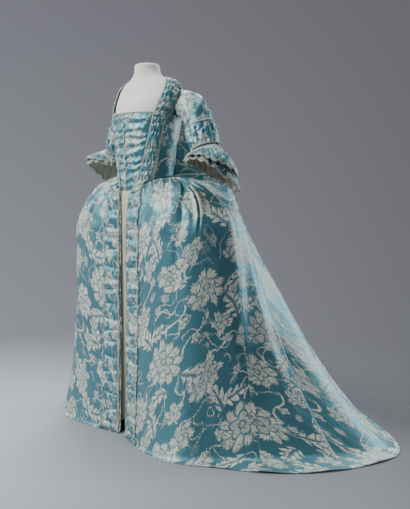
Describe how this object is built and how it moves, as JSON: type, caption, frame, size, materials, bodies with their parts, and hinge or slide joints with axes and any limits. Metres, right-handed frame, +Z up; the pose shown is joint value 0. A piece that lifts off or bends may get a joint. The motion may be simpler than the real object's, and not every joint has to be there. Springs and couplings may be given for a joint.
{
  "type": "robe a la francaise on a limbless dress form with a stand",
  "caption": "Open robe with a pleated sack back and train, ruched trimming, flounced elbow sleeves and petticoat, on a limbless dress form with a pole and round base.",
  "frame": {"origin": "foot of the stand's base on the floor, 30 mm in front of the pole, under the middle of the form", "axes": "+Z up, the wearer faces -Y, the wearer's left is +X"},
  "size_m": [1.4832, 1.262, 1.4513],
  "materials": {
    "teal_brocade": "teal satin silk with woven cream flowers",
    "gathered_brocade": "the same silk, gathered, with a looped gimp edge",
    "ivory_silk": "plain ivory silk",
    "white_cover": "smooth matte white cover",
    "stand_metal": "satin grey"
  },
  "bodies": {
    "root": {"bodice_back": "teal_brocade", "bodice_left": "teal_brocade", "bodice_right": "teal_brocade", "compere_button_01": "gathered_brocade", "compere_button_02": "gathered_brocade", "compere_button_03": "gathered_brocade", "compere_button_04": "gathered_brocade", "compere_button_05": "gathered_brocade", "compere_button_06": "gathered_brocade", "compere_button_07": "gathered_brocade", "compere_button_08": "gathered_brocade", "compere_button_09": "gathered_brocade", "compere_left": "teal_brocade", "compere_right": "teal_brocade", "dress_form": "white_cover", "flounce_lower_left": "teal_brocade", "flounce_lower_right": "teal_brocade", "flounce_upper_left": "teal_brocade", "flounce_upper_right": "teal_brocade", "form_base": "stand_metal", "form_cap": "white_cover", "form_pole": "stand_metal", "neck_trim": "gathered_brocade", "petticoat": "ivory_silk", "robing_left": "gathered_brocade", "robing_right": "gathered_brocade", "sack_back": "teal_brocade", "shoulder_left": "teal_brocade", "shoulder_right": "teal_brocade", "skirt_band_left": "gathered_brocade", "skirt_band_right": "gathered_brocade", "skirt_front_left": "teal_brocade", "skirt_front_right": "teal_brocade", "skirt_side_left": "teal_brocade", "skirt_side_right": "teal_brocade", "sleeve_band_left": "gathered_brocade", "sleeve_band_right": "gathered_brocade", "sleeve_left": "teal_brocade", "sleeve_right": "teal_brocade"}
  },
  "joints": []
}
